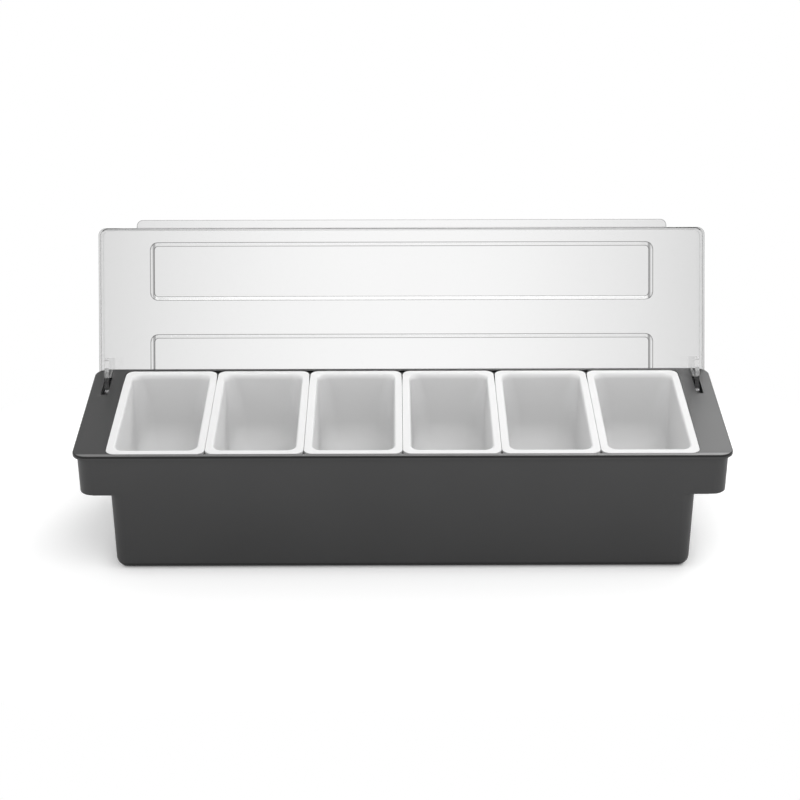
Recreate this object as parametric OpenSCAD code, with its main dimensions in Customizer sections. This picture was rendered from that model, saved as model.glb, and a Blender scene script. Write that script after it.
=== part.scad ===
// Condiment caddy: a long dark tray that holds ice under six lift-out pans,
// with one wide clear lid that swings back on two pins under the end shelves.
// Millimetres. X runs along the row of pans, Y towards the hinge, Z up.
// The origin is the middle of the tray's underside, on the table.

/* [Pans] */
// Width of a pan's brim, along the row
pan_w = 74.8; // [60:0.1:95]
// Length of a pan's brim, front to back
pan_d = 146; // [120:1:180]
// Height of a pan
pan_h = 68; // [50:1:82]
// Space left between two brims
pan_gap = 0.2; // [0.2:0.1:2]
// Thickness of the brim
brim_t = 2; // [1.4:0.1:2.4]
// Width of the brim's flat top along a pan's long sides
brim_side = 4.9; // [4:0.1:9]
// Width of the brim's flat top at a pan's front and back
brim_end = 6.4; // [4:0.1:9]
// Width and depth of the slope from the brim into the pan
brim_slope = 1.5; // [1.5:0.1:3.5]
// Radius of the brim's corners
brim_corner_r = 7; // [4:0.5:10]
// Wall of a pan
pan_wall = 2; // [1.4:0.1:2.6]
// Floor of a pan
pan_floor = 2; // [1.4:0.1:4]
// Lean of a pan's sides
pan_lean = 1.75; // [0.5:0.05:4]
// Radius of a pan's upright corners, inside at the top
pan_corner_r = 9; // [6:0.5:12]
// Inside radius between the floor and the long sides
pan_side_r = 14; // [4:1:20]
// Inside radius between the floor and the ends
pan_end_r = 24; // [4:1:34]
// Space between a pan's wall and the opening around it
pan_clear = 0.4; // [0.3:0.1:2]
// Space between the brims and the edge of their recess
recess_gap = 0.3; // [0.2:0.1:1]

/* [Tray] */
// Height of the tray
tray_h = 100; // [90:1:140]
// Wall of the tray
wall = 2.5; // [1.8:0.1:3.2]
// Floor of the tray
floor_t = 2.5; // [1.8:0.1:4]
// Thickness of the rim and the end shelves
rim_t = 3; // [2.6:0.1:4]
// How far the rim stands out over the skirts at both ends
rim_over = 3; // [3:0.5:8]
// How far the rim stands out over the front and back walls
rim_lip = 1; // [1:0.5:5]
// Width of the rim in front of the pans and behind them
rim_strip = 4.5; // [4:0.5:12]
// Radius of the rim's corners
rim_corner_r = 11; // [8:0.5:16]
// Width of an end shelf, from the pans to the rim's end
shelf_w = 25; // [24:0.5:40]
// How far the skirts hang below the rim's top
skirt_drop = 34; // [33:1:50]
// Lean of the tray's walls
tray_lean = 1.15; // [0.5:0.05:3]
// Radius of the tray's upright corners, at the top
tray_corner_r = 11; // [10:0.5:16]
// Radius of the tray's bottom edge
base_r = 8; // [4:0.5:9]

/* [Lid] */
// Height of the lid, from its open edge to its top
lid_h = 17.2; // [14:0.1:30]
// Thickness of the lid's top
lid_t = 2.5; // [1.8:0.1:3.5]
// Thickness of the lid's walls
lid_wall = 2.2; // [1.6:0.1:3]
// Radius of the lid's upright corners
lid_corner_r = 6; // [5:0.5:12]
// Radius of the lid's top edge
lid_edge_r = 2.5; // [1:0.1:3]
// Gap under the closed lid's edge
lid_gap = 0.3; // [0.2:0.1:1]
// How far the lid stays inside the rim's ends
lid_end_in = 1.5; // [0.5:0.1:3]
// How far the lid stays inside the rim's back edge
lid_back_in = 2.5; // [1:0.1:5]
// How far the lid stays inside the rim's front edge
lid_front_in = 4.5; // [1:0.1:6]
// Length of the finger lip
lip_w = 434; // [100:1:440]
// How far the finger lip stands out
lip_out = 6.6; // [4:0.1:15]
// Thickness of the finger lip
lip_t = 2.2; // [1.4:0.1:4]
// Radius of the lip's corners
lip_corner_r = 5; // [2:0.5:6]
// Length of a raised panel
panel_w = 416; // [200:1:430]
// Width of a raised panel
panel_d = 48; // [30:1:52]
// How far the panels are raised
panel_rise = 1.6; // [0.6:0.1:2.4]
// Width of the slope around a panel
panel_slope = 3.3; // [1:0.1:4.5]
// Radius of a panel's corners
panel_corner_r = 6.5; // [5:0.5:12]
// Distance from the lid's front to the first panel
panel_front = 11; // [8:0.5:16]
// Distance between the two panels
panel_gap = 28; // [10:0.5:32]
// How far the lid swings from closed to open
open_deg = 114.4; // [90:0.1:115]

/* [Hinge] */
// Distance from the rim's back edge forward to the pins
pivot_back = 16.5; // [15:0.1:20]
// Depth of the pins below the rim's top
pivot_drop = 13; // [12:0.1:15]
// Diameter of a hinge pin
pin_d = 5; // [3:0.1:6]
// Radial clearance of the pin in the lid's eye
pin_run = 0.05; // [0.02:0.01:0.1]
// Radial clearance of the pin in the tray
pin_seat = 0.02; // [0.01:0.01:0.05]
// Wall around the pin in the lid's eye
eye_wall = 3.4; // [2.5:0.1:4]
// Width of the eye's open mouth
mouth_w = 4.2; // [2:0.1:4.6]
// Thickness of an arm
arm_t = 3.3; // [2.4:0.1:4]
// Reach of the closed arm in front of the pin
arm_reach = 28; // [26:0.5:32]
// Reach of the closed arm below the pin
arm_drop = 18; // [14:0.5:19]
// Width of the arm where it joins the lid
arm_root = 11; // [8:0.5:13]
// Space between the open arm and the shelf it rests on
arm_gap = 0.35; // [0.3:0.05:1]
// Space between an arm and each side of its slot
slot_side = 1.1; // [0.6:0.1:2]
// Space between the arm's tip and the slot's front end
slot_clear = 0.95; // [0.6:0.05:3]
// Distance from the rim's end to the slot's middle
slot_in = 12; // [11.8:0.1:16]
// Thickness of the web that carries a pin's inner end
web_t = 2.5; // [1.8:0.1:4]

/* [Hidden] */
$fn = 48;
pan_count = 6;
over = 1; // how far a cut runs past the face that it opens

// A worked-out size, rounded so that faces that should meet do so exactly
function rounded(size) = round(size * 1000) / 1000;

// How far a leaning side comes in over a height
function lean_in(h, lean) = rounded(h * tan(lean));

// The row of pans sets the tray's length and depth
pan_pitch = pan_w + pan_gap;
row_w = pan_count * pan_pitch;
rim_w = row_w + 2 * shelf_w;
rim_d = pan_d + 2 * rim_strip;
side_reach = brim_side + brim_slope - pan_wall; // brim's edge to the wall's outer face
end_reach = brim_end + brim_slope - pan_wall;
pan_body_w = pan_w - 2 * side_reach;
pan_body_d = pan_d - 2 * end_reach;
well_mouth_w = row_w - pan_gap - 2 * (side_reach - pan_clear);
well_mouth_d = pan_d - 2 * (end_reach - pan_clear);
end_ledge = 0.4; // at both ends of the row the rim reaches this far in over the well
well_w = well_mouth_w + 2 * end_ledge;
tub_w = well_w + 2 * wall;
tub_d = rim_d - 2 * rim_lip;
well_d = tub_d - 2 * wall;
skirt_w = rim_w - 2 * rim_over;
recess_w = row_w - pan_gap + 2 * recess_gap;
recess_d = pan_d + 2 * recess_gap;

// Hinge line, and the shelf strip behind the slots that the arms reach over
pivot_y = rim_d / 2 - pivot_back;
pivot_z = tray_h - pivot_drop;
pin_r = pin_d / 2;
eye_r = pin_r + eye_wall;
swing_clear = 0.8; // between the swinging lid and the rim's back edge
wall_clear = 0.6; // between the open lid and the tray's back wall
swing_r = rounded(norm([pivot_back, pivot_drop]) + swing_clear);
tip_r = 3; // radius of the arm's lower front corner
heel_r = 5; // radius of the arm's lower back corner
tip_reach = norm([arm_reach - tip_r, arm_drop - tip_r]) + tip_r;
slot_len = rounded(sqrt(pow(tip_reach, 2) - pow(pivot_drop - rim_t, 2)) + slot_clear);
slot_w = arm_t + 2 * slot_side;
slot_x = rim_w / 2 - slot_in;

// Lid, laid out closed around the hinge line: back and up from the pins
lid_w = rim_w - 2 * lid_end_in;
lid_d = rim_d - lid_back_in - lid_front_in;
lid_back = pivot_back - lid_back_in;
lid_low = pivot_drop + lid_gap;
lid_high = lid_low + lid_h;
lid_inside = lid_high - lid_t;
lid_mid = lid_back - lid_d / 2;
back_edge = rounded(sqrt(pow(swing_r, 2) - pow(lid_back - lid_wall, 2))); // open edge of the back wall

// Pins run from a hanging web to a blind boss in the skirt
web_gap = 1.45; // slot to web
web_reach = 8; // web in front of the pin, and below it
web_x = slot_x - slot_w / 2 - web_gap - web_t;
boss_wall = 3;
boss_gap = 0.3; // slot to boss
boss_x = slot_x + slot_w / 2 + boss_gap;
pin_proud = 1; // pin's inner end past the web
pin_cover = 1.6; // skirt left outside the pin's outer end
pin_end_gap = 0.1;
pin_in_x = web_x - pin_proud;
pin_out_x = skirt_w / 2 - lean_in(pivot_drop, tray_lean) - pin_cover;

// Right half of an upright section: a leaning side and a round bottom edge
module half_section(reach, h, edge_r, lean) {
    foot = reach - lean_in(h, lean);
    arc_x = foot - rounded(edge_r / cos(lean) - edge_r * tan(lean));
    difference() {
        polygon([[0, 0], [foot, 0], [reach, h], [0, h]]);
        if (edge_r > 0) difference() {
            translate([arc_x, -over]) square([reach, over + edge_r * (1 - sin(lean))]);
            translate([arc_x, edge_r]) circle(edge_r);
        }
    }
}

module section(w, h, edge_r, lean) {
    half_section(w / 2, h, edge_r, lean);
    mirror([1, 0]) half_section(w / 2, h, edge_r, lean);
}

// Solid that is w by d at its top and stands on z = 0, with leaning sides: the
// same half section is spun a quarter turn at each corner and run along the sides
module vat(w, d, h, corner_r, edge_r, lean) {
    for (turn = [0 : 90 : 270]) {
        x = turn == 0 || turn == 270 ? w / 2 - corner_r : corner_r - w / 2;
        y = turn < 180 ? d / 2 - corner_r : corner_r - d / 2;
        translate([x, y, 0]) rotate([0, 0, turn]) rotate_extrude(angle = 90)
            half_section(corner_r, h, edge_r, lean);
    }
    rotate([90, 0, 0]) linear_extrude(d - 2 * corner_r, center = true) section(w, h, edge_r, lean);
    rotate([90, 0, 90]) linear_extrude(w - 2 * corner_r, center = true) section(d, h, edge_r, lean);
}

// Vat with leaning sides over a round bottom edge
module tub(w, d, h, corner_r, edge_r, lean) {
    in = lean_in(h - edge_r, lean);
    translate([0, 0, edge_r]) vat(w, d, h - edge_r, corner_r, 0, lean);
    vat(w - 2 * in, d - 2 * in, edge_r, corner_r - in, edge_r, 0);
}

// Vat whose bottom edge has one radius at the long sides and another at the ends
module deep_vat(w, d, h, corner_r, side_r, end_r, lean) {
    intersection() {
        vat(w, d, h, corner_r, 0, lean);
        rotate([90, 0, 0]) linear_extrude(d + 2 * over, center = true) section(w, h, side_r, lean);
        rotate([90, 0, 90]) linear_extrude(w + 2 * over, center = true) section(d, h, end_r, lean);
    }
}

// Flat plate with round corners
module plate(w, d, t, corner_r) {
    vat(w, d, t, corner_r, 0, 0);
}

// Inside of a pan: leaning walls, and the brim's slope on top of them
module pan_hollow() {
    mouth_side = brim_side - over;
    mouth_end = brim_end - over;
    translate([0, 0, pan_floor])
        deep_vat(pan_body_w - 2 * pan_wall, pan_body_d - 2 * pan_wall, pan_h - pan_floor - brim_slope,
            pan_corner_r, pan_side_r, pan_end_r, pan_lean);
    translate([0, 0, pan_h - brim_slope])
        vat(pan_w - 2 * mouth_side, pan_d - 2 * mouth_end, brim_slope + over,
            pan_corner_r + brim_slope + over, 0, 45);
}

// One pan, hung by its brim in the recess
module pan(place) {
    x = (place - (pan_count - 1) / 2) * pan_pitch;
    color("#f1f1ef") translate([x, 0, tray_h - pan_h]) difference() {
        union() {
            translate([0, 0, pan_h - brim_t]) plate(pan_w, pan_d, brim_t, brim_corner_r);
            deep_vat(pan_body_w, pan_body_d, pan_h - brim_t / 2, pan_corner_r + pan_wall,
                pan_side_r + pan_wall, pan_end_r + pan_wall, pan_lean);
        }
        pan_hollow();
    }
}

// Space under an end shelf, open below, between the tub's end and the skirt
module pocket(side) {
    low = tray_h - skirt_drop - over;
    top = tray_h - brim_t - wall;
    step_x = recess_w / 2 + wall;
    intersection() {
        translate([0, 0, low])
            vat(skirt_w - 2 * wall, well_d, tray_h - rim_t - low, tray_corner_r - wall, 0, tray_lean);
        rotate([90, 0, 0]) linear_extrude(tub_d, center = true) mirror([side < 0 ? 1 : 0, 0])
            polygon([
                [tub_w / 2 - lean_in(top - low, tray_lean), low - over], [tub_w / 2, top], [step_x, top],
                [step_x, tray_h], [skirt_w / 2, tray_h], [skirt_w / 2, low - over]
            ]);
    }
}

// Round boss on the skirt's inner face, around the pin's outer end
module boss(side) {
    translate([side * boss_x, pivot_y, pivot_z]) rotate([0, side * 90, 0])
        cylinder(h = skirt_w / 2 - wall / 2 - boss_x - lean_in(pivot_drop, tray_lean), r = pin_r + boss_wall);
}

// Web that hangs from the shelf and the back wall, beside the slot
module web(side) {
    run = tub_d / 2 - wall / 2 - pivot_y - lean_in(skirt_drop, tray_lean);
    drop = pivot_drop + web_reach;
    x = side > 0 ? web_x : -web_x - web_t;
    translate([x, pivot_y - web_reach, tray_h - drop]) cube([web_t, web_reach + run, drop - rim_t / 2]);
}

module pin_hole(side) {
    translate([side * (web_x - over), pivot_y, pivot_z]) rotate([0, side * 90, 0])
        cylinder(h = pin_out_x - web_x + over + pin_end_gap, r = pin_r + pin_seat);
}

module slot(side) {
    translate([side * slot_x - slot_w / 2, pivot_y - slot_len, tray_h - rim_t - over])
        cube([slot_w, slot_len, rim_t + 2 * over]);
}

// Outside of the tray: the tub, the wider part with the skirts, and the rim
module tray_block() {
    skirt_z = tray_h - skirt_drop;
    skirt_h = skirt_drop - rim_t / 2;
    in = lean_in(skirt_h, tray_lean);
    tub(tub_w - 2 * in, tub_d - 2 * in, skirt_z, tray_corner_r - in, base_r, tray_lean);
    translate([0, 0, skirt_z]) vat(skirt_w, tub_d, skirt_h, tray_corner_r, 0, tray_lean);
    translate([0, 0, tray_h - rim_t]) plate(rim_w, rim_d, rim_t, rim_corner_r);
}

// Inside of the tray, the opening in the rim, and the recess that the brims lie in
module well() {
    translate([0, 0, floor_t])
        tub(well_w, well_d, tray_h - floor_t - rim_t, tray_corner_r - wall, base_r - wall, tray_lean);
    translate([0, 0, tray_h - rim_t - over])
        plate(well_mouth_w, well_mouth_d, rim_t + over, tray_corner_r - wall);
    translate([0, 0, tray_h - brim_t])
        plate(recess_w, recess_d, brim_t + over, brim_corner_r + recess_gap);
}

module tray() {
    color("#474747") difference() {
        union() {
            difference() {
                tray_block();
                well();
                pocket(-1);
                pocket(1);
            }
            for (side = [-1, 1]) {
                boss(side);
                web(side);
            }
        }
        for (side = [-1, 1]) {
            pin_hole(side);
            slot(side);
        }
    }
}

module hinge_pin(side) {
    color("silver") translate([side * pin_in_x, pivot_y, pivot_z]) rotate([0, side * 90, 0])
        cylinder(h = pin_out_x - pin_in_x, r = pin_r);
}

// Where a point given for the open lid lies when the lid is closed
function folded(p) = [
    p[0] * cos(open_deg) - p[1] * sin(open_deg),
    p[0] * sin(open_deg) + p[1] * cos(open_deg)
];

// Outline of an arm, closed: down through the slot, back under the shelf and
// round the pin. Open, its inner edge lies along the shelf behind the slot.
module arm_outline() {
    shelf_up = pivot_drop + arm_gap;
    neck = -slot_clear;
    past = 0.2; // the inner edge runs on this far past the swing circle, then turns up
    bend = swing_r + swing_clear;
    bend_up = 0.45 * shelf_up;
    root = [-arm_reach, lid_inside + lid_t / 2];
    difference() {
        union() {
            polygon([
                root, [-arm_reach, tip_r - arm_drop], [tip_r - arm_reach, -arm_drop],
                [eye_r - heel_r, -arm_drop], [eye_r, heel_r - arm_drop], [eye_r, 0], [0, 0],
                folded([neck, pin_r]), folded([neck, shelf_up]),
                folded([sqrt(pow(swing_r, 2) - pow(shelf_up, 2)) + past, shelf_up]),
                folded([bend, bend_up]),
                [arm_root - arm_reach, lid_inside], root + [arm_root, 0]
            ]);
            translate([tip_r - arm_reach, tip_r - arm_drop]) circle(tip_r);
            translate([eye_r - heel_r, heel_r - arm_drop]) circle(heel_r);
            circle(eye_r);
        }
        circle(pin_r + pin_run);
        rotate(open_deg) translate([-mouth_w / 2, -eye_r - over]) square([mouth_w, eye_r + over]);
    }
}

module arm(side) {
    translate([side * slot_x - arm_t / 2, 0, 0]) rotate([90, 0, 90]) linear_extrude(arm_t) arm_outline();
}

// Raised panel, or the matching pocket under it
module panel_block(place) {
    y = lid_back - lid_d + panel_front + panel_d / 2 + place * (panel_d + panel_gap);
    lean = atan(panel_slope / panel_rise);
    spread = lean_in(over, lean);
    translate([0, y, panel_rise]) mirror([0, 0, 1])
        vat(panel_w + 2 * spread, panel_d + 2 * spread, panel_rise + over, panel_corner_r + spread, 0, lean);
}

module lid_shell() {
    difference() {
        union() {
            translate([0, lid_mid, lid_high]) mirror([0, 0, 1])
                vat(lid_w, lid_d, lid_h, lid_corner_r, lid_edge_r, 0);
            translate([0, lid_back - lid_d, lid_low]) intersection() {
                plate(lip_w, 2 * lip_out, lip_t, lip_corner_r);
                translate([-lip_w, -lip_out - over, 0])
                    cube([2 * lip_w, lip_out + over + lid_wall / 2, lip_t]);
            }
            for (place = [0, 1]) translate([0, 0, lid_high]) panel_block(place);
        }
        translate([0, lid_mid, lid_inside]) mirror([0, 0, 1])
            vat(lid_w - 2 * lid_wall, lid_d - 2 * lid_wall, lid_h + over, lid_corner_r - lid_wall, 0, 0);
        for (place = [0, 1]) translate([0, 0, lid_inside]) panel_block(place);
        // Round relief that lets the end walls pass the rim's back corners, and a
        // flat one that lets the lid's back edge hang clear of the tray's wall
        rotate([0, 90, 0]) cylinder(h = lid_w + 2 * over, r = swing_r, center = true, $fn = 96);
        rotate([open_deg, 0, 0]) translate([-lid_w, 0, -lid_high - over])
            cube([2 * lid_w, tub_d / 2 - pivot_y + wall_clear, lid_high + over]);
        translate([-lid_w, lid_back - lid_wall - over, lid_low - over])
            cube([2 * lid_w, lid_wall + 2 * over, back_edge - lid_low + over]);
    }
}

module lid() {
    color([0.86, 0.89, 0.91, 0.55]) translate([0, pivot_y, pivot_z]) rotate([-open_deg, 0, 0]) {
        lid_shell();
        arm(-1);
        arm(1);
    }
}

tray();
hinge_pin(-1);  // hinge_pin_left
hinge_pin(1);  // hinge_pin_right
lid();
pan(0);  // pan_1
pan(1);  // pan_2
pan(2);  // pan_3
pan(3);  // pan_4
pan(4);  // pan_5
pan(5);  // pan_6
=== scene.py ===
# Looks of a condiment caddy: dark tray, six white lift-out pans and one clear lid that stands open
import math

import bmesh
import bpy
from mathutils import Matrix, Vector


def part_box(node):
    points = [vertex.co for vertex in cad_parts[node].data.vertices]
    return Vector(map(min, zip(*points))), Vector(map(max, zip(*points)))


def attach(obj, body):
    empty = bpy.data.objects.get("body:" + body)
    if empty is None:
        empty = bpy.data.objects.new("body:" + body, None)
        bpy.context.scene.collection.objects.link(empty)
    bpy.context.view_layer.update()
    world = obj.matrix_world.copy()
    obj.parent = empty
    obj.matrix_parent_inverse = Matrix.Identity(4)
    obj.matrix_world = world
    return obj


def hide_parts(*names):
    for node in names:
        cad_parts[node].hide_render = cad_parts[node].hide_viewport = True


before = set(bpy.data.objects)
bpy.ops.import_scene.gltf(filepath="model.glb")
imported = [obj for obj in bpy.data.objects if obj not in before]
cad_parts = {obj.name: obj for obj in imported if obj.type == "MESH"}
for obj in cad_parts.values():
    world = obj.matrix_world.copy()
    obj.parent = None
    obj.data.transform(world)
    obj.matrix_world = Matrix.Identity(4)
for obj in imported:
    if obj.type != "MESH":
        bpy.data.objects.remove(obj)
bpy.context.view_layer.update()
mm = 0.001

# Camera at the photograph's angle, for a square picture
camera = {
    "place": (-6.09, -1458.35, 823.7),
    "pitchDown": 26.105,
    "yaw": -0.165,
    "roll": -0.075,
    "lens": 93.24,
    "sensor": 36.0,
}


def makeCamera(v):
    data = bpy.data.cameras.new("photoCamera")
    data.lens = v["lens"]
    data.sensor_width = v["sensor"]
    data.clip_end = 50
    pitch, yaw, roll = (math.radians(v[k]) for k in ("pitchDown", "yaw", "roll"))
    right = Vector((math.cos(yaw), math.sin(yaw), 0))
    level = Vector((-math.sin(yaw), math.cos(yaw), 0))
    forward = level * math.cos(pitch) + Vector((0, 0, -math.sin(pitch)))
    up = right.cross(forward)
    rolledRight = right * math.cos(roll) + up * math.sin(roll)
    rolledUp = up * math.cos(roll) - right * math.sin(roll)
    turn = Matrix((rolledRight, rolledUp, -forward)).transposed().to_4x4()
    obj = bpy.data.objects.new("photoCamera", data)
    obj.matrix_world = Matrix.Translation(Vector(v["place"]) * mm) @ turn
    bpy.context.scene.collection.objects.link(obj)
    bpy.context.scene.camera = obj


# Node helpers

def newGroup(name, inputs, outputs):
    group = bpy.data.node_groups.new(name, "ShaderNodeTree")
    for label, value in inputs.items():
        socket = group.interface.new_socket(label, in_out="INPUT", socket_type="NodeSocketFloat")
        socket.default_value = value
    for label in outputs:
        group.interface.new_socket(label, in_out="OUTPUT", socket_type="NodeSocketFloat")
    return group, group.nodes.new("NodeGroupInput"), group.nodes.new("NodeGroupOutput")


def addNode(tree, kind, values=None, **options):
    node = tree.nodes.new("ShaderNode" + kind)
    for key, value in options.items():
        setattr(node, key, value)
    for key, value in (values or {}).items():
        node.inputs[key].default_value = value
    return node


def addMath(tree, operation, a, b, clamp=False):
    node = addNode(tree, "Math", operation=operation, use_clamp=clamp)
    for socket, value in zip(node.inputs, (a, b)):
        if isinstance(value, (int, float)):
            socket.default_value = value
        else:
            tree.links.new(value, socket)
    return node.outputs[0]


# Greys of a colour ramp, as (position, grey)
def setStops(ramp, stops):
    while len(ramp.color_ramp.elements) < len(stops):
        ramp.color_ramp.elements.new(1.0)
    for element, (position, grey) in zip(ramp.color_ramp.elements, stops):
        element.position = position
        element.color = (grey, grey, grey, 1.0)


# Skin of an injection moulding: a fine grain over slow sink marks
def mouldedSkinGroup():
    inputs = {"Grain Scale": 900.0, "Wave Scale": 14.0, "Wave Share": 0.6}
    group, given, out = newGroup("mouldedSkin", inputs, ["Height", "Mottle"])
    place = addNode(group, "TexCoord").outputs["Object"]
    grain = addNode(group, "TexNoise", {"Detail": 3.0, "Roughness": 0.55})
    wave = addNode(group, "TexNoise", {"Detail": 1.5, "Roughness": 0.5})
    for noise, scale in ((grain, "Grain Scale"), (wave, "Wave Scale")):
        group.links.new(place, noise.inputs["Vector"])
        group.links.new(given.outputs[scale], noise.inputs["Scale"])
    slow = addMath(group, "MULTIPLY", wave.outputs["Fac"], given.outputs["Wave Share"])
    fineShare = addMath(group, "SUBTRACT", 1.0, given.outputs["Wave Share"])
    fine = addMath(group, "MULTIPLY", grain.outputs["Fac"], fineShare)
    group.links.new(addMath(group, "ADD", slow, fine), out.inputs["Height"])
    group.links.new(wave.outputs["Fac"], out.inputs["Mottle"])
    return group


# Hairline rubs from wiping, all lengthwise, in patches
def wipeMarksGroup():
    inputs = {"Line Scale": 60.0, "Patch Scale": 9.0, "Amount": 0.5}
    group, given, out = newGroup("wipeMarks", inputs, ["Marks"])
    place = addNode(group, "TexCoord").outputs["Object"]
    stretch = addNode(group, "Mapping", {"Scale": (0.6, 9.0, 9.0), "Rotation": (0.0, 0.0, 0.06)})
    group.links.new(place, stretch.inputs["Vector"])
    lines = addNode(group, "TexNoise", {"Detail": 4.0, "Roughness": 0.7})
    group.links.new(stretch.outputs["Vector"], lines.inputs["Vector"])
    group.links.new(given.outputs["Line Scale"], lines.inputs["Scale"])
    patches = addNode(group, "TexNoise", {"Detail": 2.0})
    group.links.new(place, patches.inputs["Vector"])
    group.links.new(given.outputs["Patch Scale"], patches.inputs["Scale"])
    thin = addNode(group, "MapRange", {"From Min": 0.62, "From Max": 0.72})
    group.links.new(lines.outputs["Fac"], thin.inputs["Value"])
    some = addNode(group, "MapRange", {"From Min": 0.45, "From Max": 0.65})
    group.links.new(patches.outputs["Fac"], some.inputs["Value"])
    both = addMath(group, "MULTIPLY", thin.outputs["Result"], some.outputs["Result"])
    group.links.new(addMath(group, "MULTIPLY", both, given.outputs["Amount"], True), out.inputs["Marks"])
    return group


# Where a face lies: flat on top, on the strip in front of the pans, on the rim's side, at the foot,
# or looking down
def facingGroup():
    inputs = {
        "Top From": 0.0984, "Flat From": 0.97, "Strip From": 0.0732,
        "Foot To": 0.0052, "Outside To": 0.1, "Under From": -0.25, "Under To": -0.65,
    }
    group, given, out = newGroup("facing", inputs, ["Top", "Strip", "Edge", "Foot", "Under", "Height"])
    spot = addNode(group, "TexCoord")
    normal = addNode(group, "SeparateXYZ")
    group.links.new(spot.outputs["Normal"], normal.inputs[0])
    place = addNode(group, "SeparateXYZ")
    group.links.new(spot.outputs["Object"], place.inputs[0])
    nearTop = addMath(group, "GREATER_THAN", place.outputs["Z"], given.outputs["Top From"])
    flat = addMath(group, "GREATER_THAN", normal.outputs["Z"], given.outputs["Flat From"])
    steep = addMath(group, "SUBTRACT", 1.0, flat)
    top = addMath(group, "MULTIPLY", nearTop, flat)
    group.links.new(top, out.inputs["Top"])
    front = addMath(group, "MULTIPLY", place.outputs["Y"], -1.0)
    inFront = addMath(group, "GREATER_THAN", front, given.outputs["Strip From"])
    group.links.new(addMath(group, "MULTIPLY", top, inFront), out.inputs["Strip"])
    height = addMath(group, "DIVIDE", place.outputs["Z"], given.outputs["Top From"], True)
    group.links.new(height, out.inputs["Height"])
    group.links.new(addMath(group, "MULTIPLY", nearTop, steep), out.inputs["Edge"])
    low = addMath(group, "LESS_THAN", place.outputs["Z"], given.outputs["Foot To"])
    outside = addMath(group, "LESS_THAN", normal.outputs["Z"], given.outputs["Outside To"])
    group.links.new(addMath(group, "MULTIPLY", low, outside), out.inputs["Foot"])
    under = addNode(group, "MapRange")
    group.links.new(normal.outputs["Z"], under.inputs["Value"])
    group.links.new(given.outputs["Under From"], under.inputs["From Min"])
    group.links.new(given.outputs["Under To"], under.inputs["From Max"])
    group.links.new(under.outputs["Result"], out.inputs["Under"])
    return group


mouldedSkin = mouldedSkinGroup()
wipeMarks = wipeMarksGroup()
facing = facingGroup()


def newMaterial(name):
    material = bpy.data.materials.new(name)
    material.use_nodes = True
    tree = material.node_tree
    tree.nodes.clear()
    out = tree.nodes.new("ShaderNodeOutputMaterial")
    shader = tree.nodes.new("ShaderNodeBsdfPrincipled")
    tree.links.new(shader.outputs["BSDF"], out.inputs["Surface"])
    return material, tree, shader, out


def placeGroup(tree, group, values):
    node = tree.nodes.new("ShaderNodeGroup")
    node.node_tree = group
    for label, value in values.items():
        node.inputs[label].default_value = value
    return node


def addBump(tree, shader, height, v):
    bump = addNode(tree, "Bump", {"Strength": v["bump"], "Distance": v["bumpDepth"] * mm})
    tree.links.new(height, bump.inputs["Height"])
    tree.links.new(bump.outputs["Normal"], shader.inputs["Normal"])


# The shader's own colour, times a tone
def timesTone(tree, shader, tone):
    product = addNode(tree, "Mix", {"Factor": 1.0}, data_type="RGBA", blend_type="MULTIPLY")
    tree.links.new(shader.inputs["Base Color"].links[0].from_socket, product.inputs["A"])
    tree.links.new(tone, product.inputs["B"])
    return product.outputs["Result"]


def plasticFinish(name, v):
    material, tree, shader, out = newMaterial(name)
    skin = placeGroup(tree, mouldedSkin, v["skin"])
    wipes = placeGroup(tree, wipeMarks, v["wipes"])
    tint = addNode(tree, "ValToRGB")
    tint.color_ramp.elements[0].position = 0.3
    tint.color_ramp.elements[1].position = 0.7
    for stop, colour in zip(tint.color_ramp.elements, v["colours"]):
        stop.color = (*colour, 1.0)
    tree.links.new(skin.outputs["Mottle"], tint.inputs["Fac"])
    tree.links.new(tint.outputs["Color"], shader.inputs["Base Color"])
    low, high = v["rough"]
    rough = addMath(tree, "MULTIPLY", skin.outputs["Mottle"], high - low)
    rough = addMath(tree, "ADD", rough, low)
    rubbed = addMath(tree, "MULTIPLY", wipes.outputs["Marks"], v["wipeRough"])
    rough = addMath(tree, "ADD", rough, rubbed, True)
    tree.links.new(rough, shader.inputs["Roughness"])
    addBump(tree, shader, skin.outputs["Height"], v)
    shader.inputs["IOR"].default_value = v["ior"]
    return material, tree, shader, out


def mixColour(tree, share, first, second):
    node = addNode(tree, "Mix", data_type="RGBA")
    tree.links.new(share, node.inputs["Factor"])
    for socket, value in ((node.inputs["A"], first), (node.inputs["B"], second)):
        if isinstance(value, tuple):
            socket.default_value = (*value, 1.0)
        else:
            tree.links.new(value, socket)
    return node.outputs["Result"]


# Dark satin plastic of the tray, with painted shade on its top faces, in the rim's rounds, at its foot and on
# faces looking down, and a painted highlight on the strip in front of the pans
trayFinish = {
    "skin": {"Grain Scale": 1400.0, "Wave Scale": 11.0, "Wave Share": 0.35},
    "wipes": {"Line Scale": 55.0, "Patch Scale": 8.0, "Amount": 0.5},
    "colours": [(0.041, 0.041, 0.0415), (0.045, 0.045, 0.0455)],
    "rough": (0.34, 0.42),
    "wipeRough": 0.12,
    "bump": 0.25,
    "bumpDepth": 0.06,
    "ior": 1.5,
    # Painted shade and light by height: the tray darker towards its foot and lighter high up
    "paintedLowShade": 0.9,
    "paintedHighLight": 1.22,
    # Painted shade on the top faces
    "topPaintedShading": (0.012, 0.012, 0.0122),
    "shine": 0.35,
    # Painted highlight on the strip in front of the pans, and painted shade in the rim's rounds, at the foot
    # and on faces looking down
    "stripPaintedShading": (0.13, 0.13, 0.13),
    "edgePaintedShading": (0.003, 0.003, 0.003),
    "footPaintedShading": (0.003, 0.003, 0.003),
    "underPaintedShading": (0.004, 0.004, 0.004),
}
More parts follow.
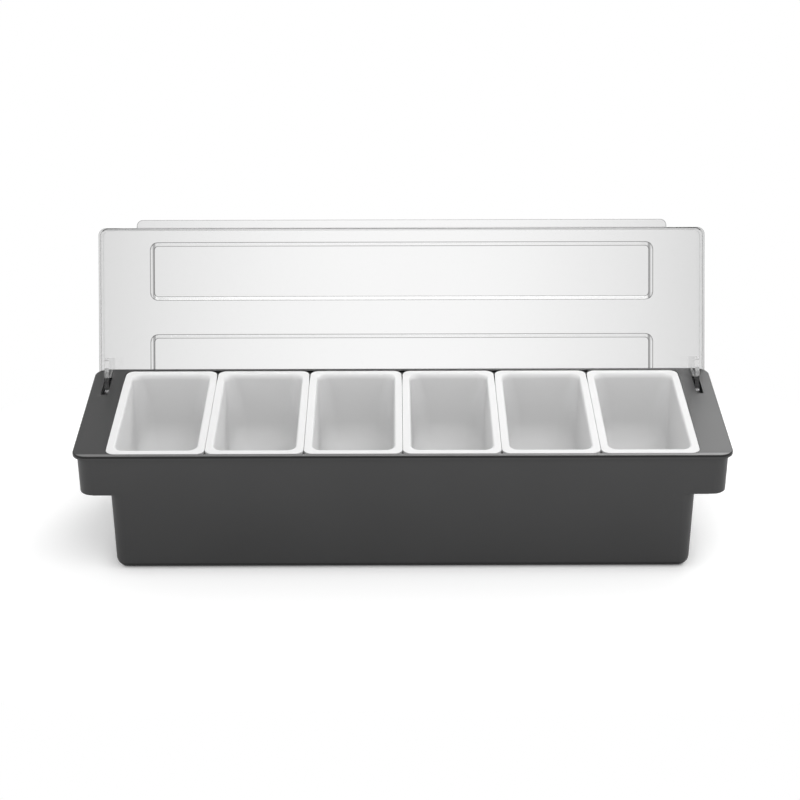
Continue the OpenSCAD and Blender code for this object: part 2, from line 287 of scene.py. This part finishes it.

# White glossy plastic of the pans, with painted shade inside them below their brims
panFinish = {
    "skin": {"Grain Scale": 600.0, "Wave Scale": 16.0, "Wave Share": 0.8},
    "wipes": {"Line Scale": 70.0, "Patch Scale": 12.0, "Amount": 0.5},
    "colours": [(0.72, 0.72, 0.72), (0.735, 0.735, 0.735)],
    "rough": (0.58, 0.66),
    "wipeRough": 0.08,
    "bump": 0.12,
    "bumpDepth": 0.08,
    "ior": 1.5,
    # Painted shade inside the pans, below their brims
    "insideFrom": 0.099,
    "insideTo": 0.088,
    "paintedInsideShade": 0.98,
}

# Clear plastic of the lid, with painted shade standing in for its refraction and reflections
lidFinish = {
    "skin": {"Grain Scale": 500.0, "Wave Scale": 10.0, "Wave Share": 0.9},
    "wipes": {"Line Scale": 60.0, "Patch Scale": 7.0, "Amount": 0.6},
    "colours": [(0.925, 0.925, 0.925), (0.935, 0.935, 0.935)],
    "rough": (0.03, 0.06),
    "wipeRough": 0.07,
    "bump": 0.05,
    "bumpDepth": 0.05,
    "ior": 1.1,
    "coatIor": 1.49,
    "coatRough": 0.04,
    "shadowPaintedShading": (0.93, 0.93, 0.93, 1.0),
    "topNormal": (0.0, 0.91068, -0.4131),
    "halfLength": 0.235,
    # Painted shade towards the lid's ends, and painted dark lines by how a face lies
    "paintedEndShade": 0.77,
    "stops": [
        (0.0, 0.95), (0.2, 0.95), (0.3, 0.74), (0.75, 0.74), (0.86, 1.0),
        (0.912, 1.0), (0.935, 0.22), (0.975, 0.28), (0.992, 1.0),
    ],
    # Painted dark line in the creases at the panels' ends
    "creaseAt": 0.2049,
    "creaseHalf": 0.0011,
    "paintedCreaseShade": 0.5,
    "creaseTilt": 0.08,
    # Painted darker front edges of the arms
    "armAt": 0.238,
    "armHalf": 0.003,
    "armSideways": 0.5,
    "armSteep": 0.25,
    "paintedArmStripShade": 0.55,
}

# Bright drawn steel of the pins
pinFinish = {
    "lineScale": (6.0, 900.0, 900.0),
    "colours": [(0.52, 0.52, 0.53), (0.68, 0.68, 0.69)],
    "rough": (0.22, 0.36),
    "bump": 0.2,
    "bumpDepth": 0.02,
}


def trayFinishMaterial(name, v):
    material, tree, shader, out = plasticFinish(name, v)
    faces = placeGroup(tree, facing, {})
    # Painted shade and light by height: darker low on the tray, lighter high up
    paintedHeightShading = addNode(tree, "MapRange", {"To Min": v["paintedLowShade"], "To Max": v["paintedHighLight"]})
    tree.links.new(faces.outputs["Height"], paintedHeightShading.inputs["Value"])
    colour = timesTone(tree, shader, paintedHeightShading.outputs["Result"])
    # Painted shade on the top faces, in the rim's rounds, at the foot and under, and a painted highlight on
    # the strip in front of the pans
    for mask in ("Top", "Strip", "Edge", "Foot", "Under"):
        colour = mixColour(tree, faces.outputs[mask], colour, v[mask.lower() + "PaintedShading"])
    tree.links.new(colour, shader.inputs["Base Color"])
    shader.inputs["Specular IOR Level"].default_value = v["shine"]
    return material


# Painted shade inside the pans: their white is a little darker below their brims
def panFinishMaterial(name, v):
    material, tree, shader, out = plasticFinish(name, v)
    place = addNode(tree, "SeparateXYZ")
    tree.links.new(addNode(tree, "TexCoord").outputs["Object"], place.inputs[0])
    # Painted shade, darker deeper inside the pan
    paintedTones = {"From Min": v["insideTo"], "From Max": v["insideFrom"], "To Min": v["paintedInsideShade"], "To Max": 1.0}
    deep = addNode(tree, "MapRange", paintedTones)
    tree.links.new(place.outputs["Z"], deep.inputs["Value"])
    tree.links.new(timesTone(tree, shader, deep.outputs["Result"]), shader.inputs["Base Color"])
    return material


# Painted shade of the clear plastic, standing in for refraction and reflections: dark in the rounds along its
# edges and in the creases at the panels' ends, darker on the arms' front edges, and a little darker towards
# the lid's ends
def paintedClearShade(tree, v):
    spot = addNode(tree, "TexCoord")
    across = addNode(tree, "VectorMath", operation="DOT_PRODUCT")
    across.inputs[1].default_value = v["topNormal"]
    tree.links.new(spot.outputs["Normal"], across.inputs[0])
    level = addMath(tree, "ABSOLUTE", across.outputs["Value"], 0.0)
    paintedTones = addNode(tree, "ValToRGB")
    setStops(paintedTones, v["stops"])
    tree.links.new(level, paintedTones.inputs["Fac"])
    place = addNode(tree, "SeparateXYZ")
    tree.links.new(spot.outputs["Object"], place.inputs[0])
    side = addMath(tree, "ABSOLUTE", place.outputs["X"], 0.0)
    share = addMath(tree, "DIVIDE", side, v["halfLength"])
    # Painted shade towards the lid's ends
    paintedEndShading = addMath(tree, "MULTIPLY", addMath(tree, "POWER", share, 2.0), 1.0 - v["paintedEndShade"])
    paintedEndShading = addMath(tree, "SUBTRACT", 1.0, paintedEndShading, True)
    inArm = addMath(tree, "COMPARE", side, v["armAt"])
    inArm.node.inputs[2].default_value = v["armHalf"]
    normal = addNode(tree, "SeparateXYZ")
    tree.links.new(spot.outputs["Normal"], normal.inputs[0])
    sideways = addMath(tree, "ABSOLUTE", normal.outputs["X"], 0.0)
    # Painted dark line in the creases at the panels' ends
    inCrease = addMath(tree, "COMPARE", side, v["creaseAt"])
    inCrease.node.inputs[2].default_value = v["creaseHalf"]
    crease = addMath(tree, "MULTIPLY", inCrease, addMath(tree, "GREATER_THAN", sideways, v["creaseTilt"]))
    crease = addMath(tree, "SUBTRACT", 1.0, addMath(tree, "MULTIPLY", crease, 1.0 - v["paintedCreaseShade"]))
    paintedEndShading = addMath(tree, "MULTIPLY", paintedEndShading, crease)
    # Painted darker front edges of the arms
    edgeOn = addMath(tree, "LESS_THAN", sideways, v["armSideways"])
    steep = addMath(tree, "LESS_THAN", level, v["armSteep"])
    paintedArmShade = addMath(tree, "MULTIPLY", addMath(tree, "MULTIPLY", inArm, edgeOn), steep)
    paintedArmShade = addMath(tree, "SUBTRACT", 1.0, addMath(tree, "MULTIPLY", paintedArmShade, 1.0 - v["paintedArmStripShade"]))
    return addMath(tree, "MULTIPLY", addMath(tree, "MULTIPLY", paintedTones.outputs["Color"], paintedEndShading), paintedArmShade)


def clearFinish(name, v):
    material, tree, shader, out = plasticFinish(name, v)
    shader.inputs["Transmission Weight"].default_value = 1.0
    shader.inputs["Coat Weight"].default_value = 1.0
    shader.inputs["Coat IOR"].default_value = v["coatIor"]
    shader.inputs["Coat Roughness"].default_value = v["coatRough"]
    # Painted shade over the lid's tint
    tree.links.new(timesTone(tree, shader, paintedClearShade(tree, v)), shader.inputs["Base Color"])
    # Lamps shine through, so that the lid's shadow stays pale
    path = addNode(tree, "LightPath")
    through = addNode(tree, "BsdfTransparent", {"Color": v["shadowPaintedShading"]})
    mix = addNode(tree, "MixShader")
    tree.links.new(path.outputs["Is Shadow Ray"], mix.inputs["Fac"])
    tree.links.new(shader.outputs["BSDF"], mix.inputs[1])
    tree.links.new(through.outputs["BSDF"], mix.inputs[2])
    tree.links.new(mix.outputs["Shader"], out.inputs["Surface"])
    return material


def steelFinish(name, v):
    material, tree, shader, out = newMaterial(name)
    place = addNode(tree, "TexCoord").outputs["Object"]
    stretch = addNode(tree, "Mapping", {"Scale": v["lineScale"]})
    lines = addNode(tree, "TexNoise", {"Scale": 1.0, "Detail": 3.0})
    tree.links.new(place, stretch.inputs["Vector"])
    tree.links.new(stretch.outputs["Vector"], lines.inputs["Vector"])
    tint = addNode(tree, "ValToRGB")
    for stop, colour in zip(tint.color_ramp.elements, v["colours"]):
        stop.color = (*colour, 1.0)
    tree.links.new(lines.outputs["Fac"], tint.inputs["Fac"])
    tree.links.new(tint.outputs["Color"], shader.inputs["Base Color"])
    low, high = v["rough"]
    rough = addNode(tree, "MapRange", {"To Min": low, "To Max": high})
    tree.links.new(lines.outputs["Fac"], rough.inputs["Value"])
    tree.links.new(rough.outputs["Result"], shader.inputs["Roughness"])
    addBump(tree, shader, lines.outputs["Fac"], v)
    shader.inputs["Metallic"].default_value = 1.0
    return material


trayPlastic = trayFinishMaterial("trayPlastic", trayFinish)
panPlastic = panFinishMaterial("panPlastic", panFinish)
lidPlastic = clearFinish("lidPlastic", lidFinish)
pinSteel = steelFinish("pinSteel", pinFinish)
print("finishes made")


# Shared by all mouldings: millimetres for the weld, degrees for the angles
moulding = {
    "weld": 0.0005,
    "flatAngle": 0.4,
    "creaseAngle": 38,
    "faceWeight": 80,
}


def finishPiece(mesh, name, material, node, body):
    for face in mesh.polygons:
        face.use_smooth = True
    mesh.materials.clear()
    mesh.materials.append(material)
    piece = bpy.data.objects.new(name, mesh)
    bpy.context.scene.collection.objects.link(piece)
    shade = piece.modifiers.new("evenShading", "WEIGHTED_NORMAL")
    shade.keep_sharp = True
    shade.weight = moulding["faceWeight"]
    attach(piece, body)
    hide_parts(node)
    return piece


# A moulding from its CAD solid, with its sharp edges rounded.
# Each round is (radius in mm, a test of an edge's middle in mm), and an edge takes the first that fits.
def roundedMoulding(node, rounds, sharp, segments):
    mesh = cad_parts[node].data.copy()
    for layer in ("custom_normal", "normal"):
        if layer in mesh.attributes:
            mesh.attributes.remove(mesh.attributes[layer])
    work = bmesh.new()
    work.from_mesh(mesh)
    bmesh.ops.remove_doubles(work, verts=work.verts, dist=moulding["weld"] * mm)
    flat = math.radians(moulding["flatAngle"])
    bmesh.ops.dissolve_limit(work, angle_limit=flat, verts=work.verts, edges=work.edges)
    for radius, wanted in rounds:
        chosen = []
        for edge in work.edges:
            if not edge.is_manifold or edge.calc_face_angle(0) < math.radians(sharp):
                continue
            middle = (edge.verts[0].co + edge.verts[1].co) / (2 * mm)
            if wanted(middle, edge):
                chosen.append(edge)
        bmesh.ops.bevel(
            work, geom=chosen, offset=radius * mm, offset_type="OFFSET", segments=segments,
            profile=0.5, affect="EDGES", clamp_overlap=False, miter_outer="SHARP", miter_inner="SHARP",
        )
        print(node, "rounded", len(chosen), "edges at", radius)
    bmesh.ops.recalc_face_normals(work, faces=work.faces)
    crease = math.radians(moulding["creaseAngle"])
    for edge in work.edges:
        edge.smooth = not edge.is_manifold or edge.calc_face_angle(0) < crease
    work.to_mesh(mesh)
    work.free()
    return mesh


tray = {
    "rimTop": 100.0,
    "rimEnd": 9.0,
    "rimFront": 2.0,
    "slotAt": 12.0,
    "slotHalf": 4.0,
    "slotY": (20.0, 62.0),
    "rimRound": 0.9,
    "edgeRound": 0.5,
    "skirtLow": 66.0,
    "skirtFrom": 224.5,
    "sharpAngle": 32,
    "segments": 3,
}


def makeTray(v):
    low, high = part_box("tray")
    reach = high.x / mm

    def onRimTop(middle, edge):
        outer = abs(middle.x) > reach - v["rimEnd"] or abs(middle.y) > high.y / mm - v["rimFront"]
        nearSlot = abs(abs(middle.x) - (reach - v["slotAt"])) < v["slotHalf"]
        inSlot = nearSlot and v["slotY"][0] < middle.y < v["slotY"][1]
        return middle.z > v["rimTop"] - 0.2 and outer and not inSlot

    def onSkirtEdge(middle, edge):
        return abs(middle.z - v["skirtLow"]) < 0.3 and abs(middle.x) > v["skirtFrom"]

    rounds = [(v["rimRound"], onRimTop), (v["edgeRound"], onSkirtEdge)]
    mesh = roundedMoulding("tray", rounds, v["sharpAngle"], v["segments"])
    return finishPiece(mesh, "trayMoulding", trayPlastic, "tray", "base")


lid = {
    "openAngle": 114.4,
    "pins": (61.0, 87.0),
    "insideAt": 28.0,
    "outsideAt": 30.5,
    "panelRise": 1.6,
    "panelRound": 0.45,
    "panelAngle": 40,
    "wallRound": 0.55,
    "sideX": 245.3,
    "sideTop": 13.5,
    "sideFrom": -20.0,
    "frontTop": 15.6,
    "frontAt": -130.0,
    "sharpAngle": 18,
    "segments": 2,
}


def makeLid(v):
    turn = math.radians(v["openAngle"])
    pinY, pinZ = v["pins"]

    # Place of a point over the pins and behind them, with the lid closed
    def closed(point):
        y, z = point.y - pinY, point.z - pinZ
        return y * math.cos(turn) - z * math.sin(turn), y * math.sin(turn) + z * math.cos(turn)

    def onPanel(middle, edge):
        up = closed(middle)[1]
        levels = (v["insideAt"], v["outsideAt"])
        near = any(abs(up - level - rise) < 0.05 for level in levels for rise in (0, v["panelRise"]))
        return near and edge.calc_face_angle(0) < math.radians(v["panelAngle"])

    def onOpenEdge(middle, edge):
        along, up = closed(middle)
        onSide = up < v["sideTop"] and along < v["sideFrom"] and abs(middle.x) > v["sideX"]
        return onSide or (up < v["frontTop"] and along < v["frontAt"])

    rounds = [(v["panelRound"], onPanel), (v["wallRound"], onOpenEdge)]
    mesh = roundedMoulding("lid", rounds, v["sharpAngle"], v["segments"])
    return finishPiece(mesh, "lidMoulding", lidPlastic, "lid", "lid")


pan = {
    "brimHigh": 2.0,
    "brimCorner": 7.0,
    "brimRound": (0.12, 0.5),
    "brimUnder": 0.12,
    "neckRound": 0.5,
    "bowBack": 0.45,
    "bowFront": 0.05,
    "bowFrom": 42.0,
    "mouthIn": (4.9, 5.0),
    "mouthDeep": (2.6, 4.2),
    "wallIn": (6.4, 7.9),
    "wallInDepth": 1.5,
    "wall": 2.0,
    "floor": 2.0,
    "lean": 1.75,
    "insideCorner": 9.0,
    "lowCorner": 15.0,
    "sideRound": 14.0,
    "endRound": 24.0,
    "cornerSteps": 12,
    "mouthSteps": 10,
    "floorSteps": 16,
}


# Points round a rectangle with round corners, the long sides split so that they can bow
def roundedRing(halfX, halfY, radius, z, steps):
    ring = []
    for quarter, (signX, signY) in enumerate(((1, 1), (-1, 1), (-1, -1), (1, -1))):
        for step in range(steps + 1):
            turn = math.radians(90 * (quarter + step / steps))
            x = signX * (halfX - radius) + radius * math.cos(turn)
            y = signY * (halfY - radius) + radius * math.sin(turn)
            ring.append((x, y, z))
        if signX == signY:
            continue
        for step in range(1, steps):
            ring.append((signX * halfX, signY * (halfY - radius) * (1 - 2 * step / steps), z))
    return ring


def loftRings(rings, shift, name):
    work = bmesh.new()
    rows = [[work.verts.new((Vector(p) + shift) * mm) for p in ring] for ring in rings]
    count = len(rings[0])
    for lower, upper in zip(rows, rows[1:]):
        for i in range(count):
            j = (i + 1) % count
            work.faces.new((lower[i], lower[j], upper[j], upper[i]))
    work.faces.new(list(reversed(rows[0])))
    work.faces.new(rows[-1])
    bmesh.ops.recalc_face_normals(work, faces=work.faces)
    mesh = bpy.data.meshes.new(name)
    work.to_mesh(mesh)
    work.free()
    return mesh


# How far a round of this radius stands in from its wall, at a height over the floor
def roundInset(radius, height):
    if height >= radius:
        return 0.0
    return radius - math.sqrt(radius**2 - (radius - height) ** 2)


def makePan(v, number):
    node = f"pan_{number}"
    low, high = (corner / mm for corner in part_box(node))
    halves = ((high.x - low.x) / 2, (high.y - low.y) / 2)
    tall = high.z - low.z
    lean = math.tan(math.radians(v["lean"]))
    steps = v["cornerSteps"]

    def wallHalf(side, z):
        return halves[side] - v["wallIn"][side] - (tall - v["wallInDepth"] - z) * lean

    def floorHeights(radius):
        turns = (math.pi / 2 * k / v["floorSteps"] for k in range(v["floorSteps"] + 1))
        return [radius * (1 - math.cos(turn)) for turn in turns]

    def bodyRing(base, extra, corner, z):
        h = z - base
        x = wallHalf(0, z) + extra - roundInset(v["sideRound"] + extra, h)
        y = wallHalf(1, z) + extra - roundInset(v["endRound"] + extra, h)
        return roundedRing(x, y, corner, z, steps)

    # The brim's long sides draw in a little towards their ends, mostly at the back
    def brimRing(insets, z):
        edge = [half - inset for half, inset in zip(halves, insets)]
        ring = roundedRing(*edge, v["brimCorner"] - max(insets), z, steps)
        reach = halves[1] - v["brimCorner"] - v["bowFrom"]
        bowed = []
        for x, y, z in ring:
            share = min(1.0, max(0.0, (abs(y) - v["bowFrom"]) / reach))
            bow = v["bowBack"] if y > 0 else v["bowFront"]
            bowed.append((x - math.copysign(bow * share**2, x), y, z))
        return bowed

    under = tall - v["brimHigh"]
    outerCorner = v["insideCorner"] + v["wall"]
    rings = [bodyRing(0, v["wall"], outerCorner, h) for h in floorHeights(v["endRound"] + v["wall"])]
    neck = v["neckRound"]
    rings.append(bodyRing(0, v["wall"], outerCorner, under - neck))
    bodyX, bodyY = (wallHalf(side, under) + v["wall"] + neck for side in (0, 1))
    rings.append(roundedRing(bodyX, bodyY, outerCorner + neck, under, steps))
    for turn in range(0, 91, 30):
        inset = v["brimUnder"] * (1 - math.sin(math.radians(turn)))
        rise = v["brimUnder"] * (1 - math.cos(math.radians(turn)))
        rings.append(brimRing((inset, inset), under + rise))
    for turn in range(0, 91, 18):
        share = 1 - math.cos(math.radians(turn))
        drop = v["brimRound"][1] * (1 - math.sin(math.radians(turn)))
        rings.append(brimRing([size * share for size in v["brimRound"]], tall - drop))
    endDeep = v["mouthDeep"][1]
    for k in range(v["mouthSteps"] + 1):
        drop = endDeep * (1 - math.cos(math.pi / 2 * k / v["mouthSteps"]))
        insets = []
        for side, deep in enumerate(v["mouthDeep"]):
            full = halves[side] - wallHalf(side, tall - deep) - v["mouthIn"][side]
            share = math.sqrt(max(0.0, 1 - (1 - min(drop / deep, 1.0)) ** 2))
            below = max(0.0, drop - deep) * lean
            insets.append(v["mouthIn"][side] + full * share + below)
        corner = v["brimCorner"] + (v["insideCorner"] - v["brimCorner"]) * k / v["mouthSteps"]
        mouth = [half - inset for half, inset in zip(halves, insets)]
        rings.append(roundedRing(*mouth, corner, tall - drop, steps))
    # Inside, the corners widen on the way down to the floor's round
    for k in range(1, v["mouthSteps"]):
        share = k / v["mouthSteps"]
        z = tall - endDeep - share * (tall - endDeep - v["floor"] - v["endRound"])
        corner = v["insideCorner"] + (v["lowCorner"] - v["insideCorner"]) * math.sin(math.pi / 2 * share)
        rings.append(bodyRing(v["floor"], 0, corner, z))
    for h in reversed(floorHeights(v["endRound"])):
        rings.append(bodyRing(v["floor"], 0, v["lowCorner"], v["floor"] + h))
    shift = Vector(((low.x + high.x) / 2, (low.y + high.y) / 2, low.z))
    mesh = loftRings(rings, shift, f"pan{number}")
    return finishPiece(mesh, f"pan{number}", panPlastic, node, node)


pin = {"chamfer": 0.4, "sides": 48, "creaseAngle": 30}


def makePin(v, side):
    node = f"hinge_pin_{side}"
    low, high = (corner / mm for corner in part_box(node))
    radius = (high.z - low.z) / 2
    middle = (low + high) / 2
    work = bmesh.new()
    profile = [(low.x, radius - v["chamfer"]), (low.x + v["chamfer"], radius)]
    profile += [(high.x - v["chamfer"], radius), (high.x, radius - v["chamfer"])]
    rows = []
    for x, reach in profile:
        turns = (2 * math.pi * k / v["sides"] for k in range(v["sides"]))
        spots = (Vector((x, middle.y + reach * math.cos(a), middle.z + reach * math.sin(a))) for a in turns)
        rows.append([work.verts.new(p * mm) for p in spots])
    for left, right in zip(rows, rows[1:]):
        for i in range(v["sides"]):
            j = (i + 1) % v["sides"]
            work.faces.new((left[i], left[j], right[j], right[i]))
    work.faces.new(rows[0])
    work.faces.new(rows[-1])
    bmesh.ops.recalc_face_normals(work, faces=work.faces)
    for edge in work.edges:
        edge.smooth = edge.calc_face_angle(0) < math.radians(v["creaseAngle"])
    mesh = bpy.data.meshes.new(node)
    work.to_mesh(mesh)
    work.free()
    return finishPiece(mesh, "hingePin" + side.capitalize(), pinSteel, node, "base")


makeTray(tray)
print("tray made")
makeLid(lid)
print("lid made")
for number in range(1, 7):
    makePan(pan, number)
print("pans made")
for side in ("left", "right"):
    makePin(pin, side)
print("pins made")

studio = {
    "floorSize": 14.0,
    "floorPaintedShading": (0.8, 0.8, 0.8, 1.0),
    "floorRough": 0.9,
    "floorShine": 0.2,
    "footprint": (0.214, 0.0665),
    "glow": [
        (0.0, 0.0), (0.002, 0.0), (0.0045, 0.27), (0.0075, 0.23), (0.012, 0.24),
        (0.016, 0.29), (0.025, 0.33), (0.06, 0.355),
    ],
    "whiteFrom": 0.1,
    "whiteTo": 0.2,
    "worldLevel": 0.62,
    "lamps": [
        {"name": "keyLamp", "place": (0.4, -0.8, 2.3), "aim": (0, 0, 0.05), "size": 1.9, "power": 18.0},
        {"name": "backLamp", "place": (0.6, 1.35, 1.25), "aim": (0, 0, 0.1), "size": 1.0, "power": 12.0},
        {"name": "fillLampLeft", "place": (-2.2, -0.5, 1.5), "aim": (0, 0, 0.05), "size": 1.5, "power": 7.5},
        {"name": "fillLampRight", "place": (2.2, -0.5, 1.5), "aim": (0, 0, 0.05), "size": 1.5, "power": 6.5},
    ],
}


def seenDirectly(tree):
    path = addNode(tree, "LightPath")
    seen = addMath(tree, "ADD", path.outputs["Is Camera Ray"], path.outputs["Is Glossy Ray"])
    return addMath(tree, "ADD", seen, path.outputs["Is Transmission Ray"], True)


# The paper glows more away from the object, so that the shadow at its foot stays, and is plain white far off.
# Gives the glow and the share of plain white.
def floorTones(tree, v):
    place = addNode(tree, "SeparateXYZ")
    tree.links.new(addNode(tree, "TexCoord").outputs["Object"], place.inputs[0])
    squares = []
    for axis, half in zip("XY", v["footprint"]):
        away = addMath(tree, "SUBTRACT", addMath(tree, "ABSOLUTE", place.outputs[axis], 0.0), half)
        squares.append(addMath(tree, "POWER", addMath(tree, "MAXIMUM", away, 0.0), 2.0))
    away = addMath(tree, "SQRT", addMath(tree, "ADD", *squares), 0.0)
    reach = v["glow"][-1][0]
    level = addNode(tree, "ValToRGB")
    setStops(level, [(distance / reach, strength) for distance, strength in v["glow"]])
    tree.links.new(addMath(tree, "DIVIDE", away, reach, True), level.inputs["Fac"])
    far = addNode(tree, "MapRange", {"From Min": v["whiteFrom"], "From Max": v["whiteTo"]})
    tree.links.new(away, far.inputs["Value"])
    return level.outputs["Color"], far.outputs["Result"]


def makeStudio(v):
    world = bpy.data.worlds.new("studioWorld")
    bpy.context.scene.world = world
    world.use_nodes = True
    tree = world.node_tree
    tree.nodes.clear()
    out = tree.nodes.new("ShaderNodeOutputWorld")
    soft = addNode(tree, "Background", {"Color": (1, 1, 1, 1), "Strength": v["worldLevel"]})
    white = addNode(tree, "Background", {"Color": (1, 1, 1, 1), "Strength": 1.0})
    mix = addNode(tree, "MixShader")
    tree.links.new(seenDirectly(tree), mix.inputs["Fac"])
    tree.links.new(soft.outputs["Background"], mix.inputs[1])
    tree.links.new(white.outputs["Background"], mix.inputs[2])
    tree.links.new(mix.outputs["Shader"], out.inputs["Surface"])

    half = v["floorSize"] / 2
    mesh = bpy.data.meshes.new("studioFloor")
    corners = [(-half, -half, 0), (half, -half, 0), (half, half, 0), (-half, half, 0)]
    mesh.from_pydata(corners, [], [(0, 1, 2, 3)])
    floor = bpy.data.objects.new("studioFloor", mesh)
    bpy.context.scene.collection.objects.link(floor)
    material, tree, shader, out = newMaterial("studioPaper")
    shader.inputs["Base Color"].default_value = v["floorPaintedShading"]
    shader.inputs["Roughness"].default_value = v["floorRough"]
    shader.inputs["Specular IOR Level"].default_value = v["floorShine"]
    shader.inputs["Emission Color"].default_value = (1, 1, 1, 1)
    seen = seenDirectly(tree)
    level, far = floorTones(tree, v)
    path = addNode(tree, "LightPath")
    unmirrored = addMath(tree, "SUBTRACT", seen, path.outputs["Is Glossy Ray"], True)
    tree.links.new(addMath(tree, "MULTIPLY", unmirrored, level), shader.inputs["Emission Strength"])
    plain = addNode(tree, "Emission", {"Color": (1, 1, 1, 1), "Strength": 1.0})
    mix = addNode(tree, "MixShader")
    tree.links.new(addMath(tree, "MULTIPLY", seen, far), mix.inputs["Fac"])
    tree.links.new(shader.outputs["BSDF"], mix.inputs[1])
    tree.links.new(plain.outputs["Emission"], mix.inputs[2])
    tree.links.new(mix.outputs["Shader"], out.inputs["Surface"])
    mesh.materials.append(material)

    for lamp in v["lamps"]:
        data = bpy.data.lights.new(lamp["name"], "AREA")
        data.shape = "DISK"
        data.size = lamp["size"]
        data.energy = lamp["power"]
        obj = bpy.data.objects.new(lamp["name"], data)
        obj.location = lamp["place"]
        toward = Vector(lamp["aim"]) - Vector(lamp["place"])
        obj.rotation_euler = toward.to_track_quat("-Z", "Y").to_euler()
        bpy.context.scene.collection.objects.link(obj)


makeCamera(camera)
makeStudio(studio)
bpy.context.scene.view_settings.view_transform = "Standard"
print("studio made")
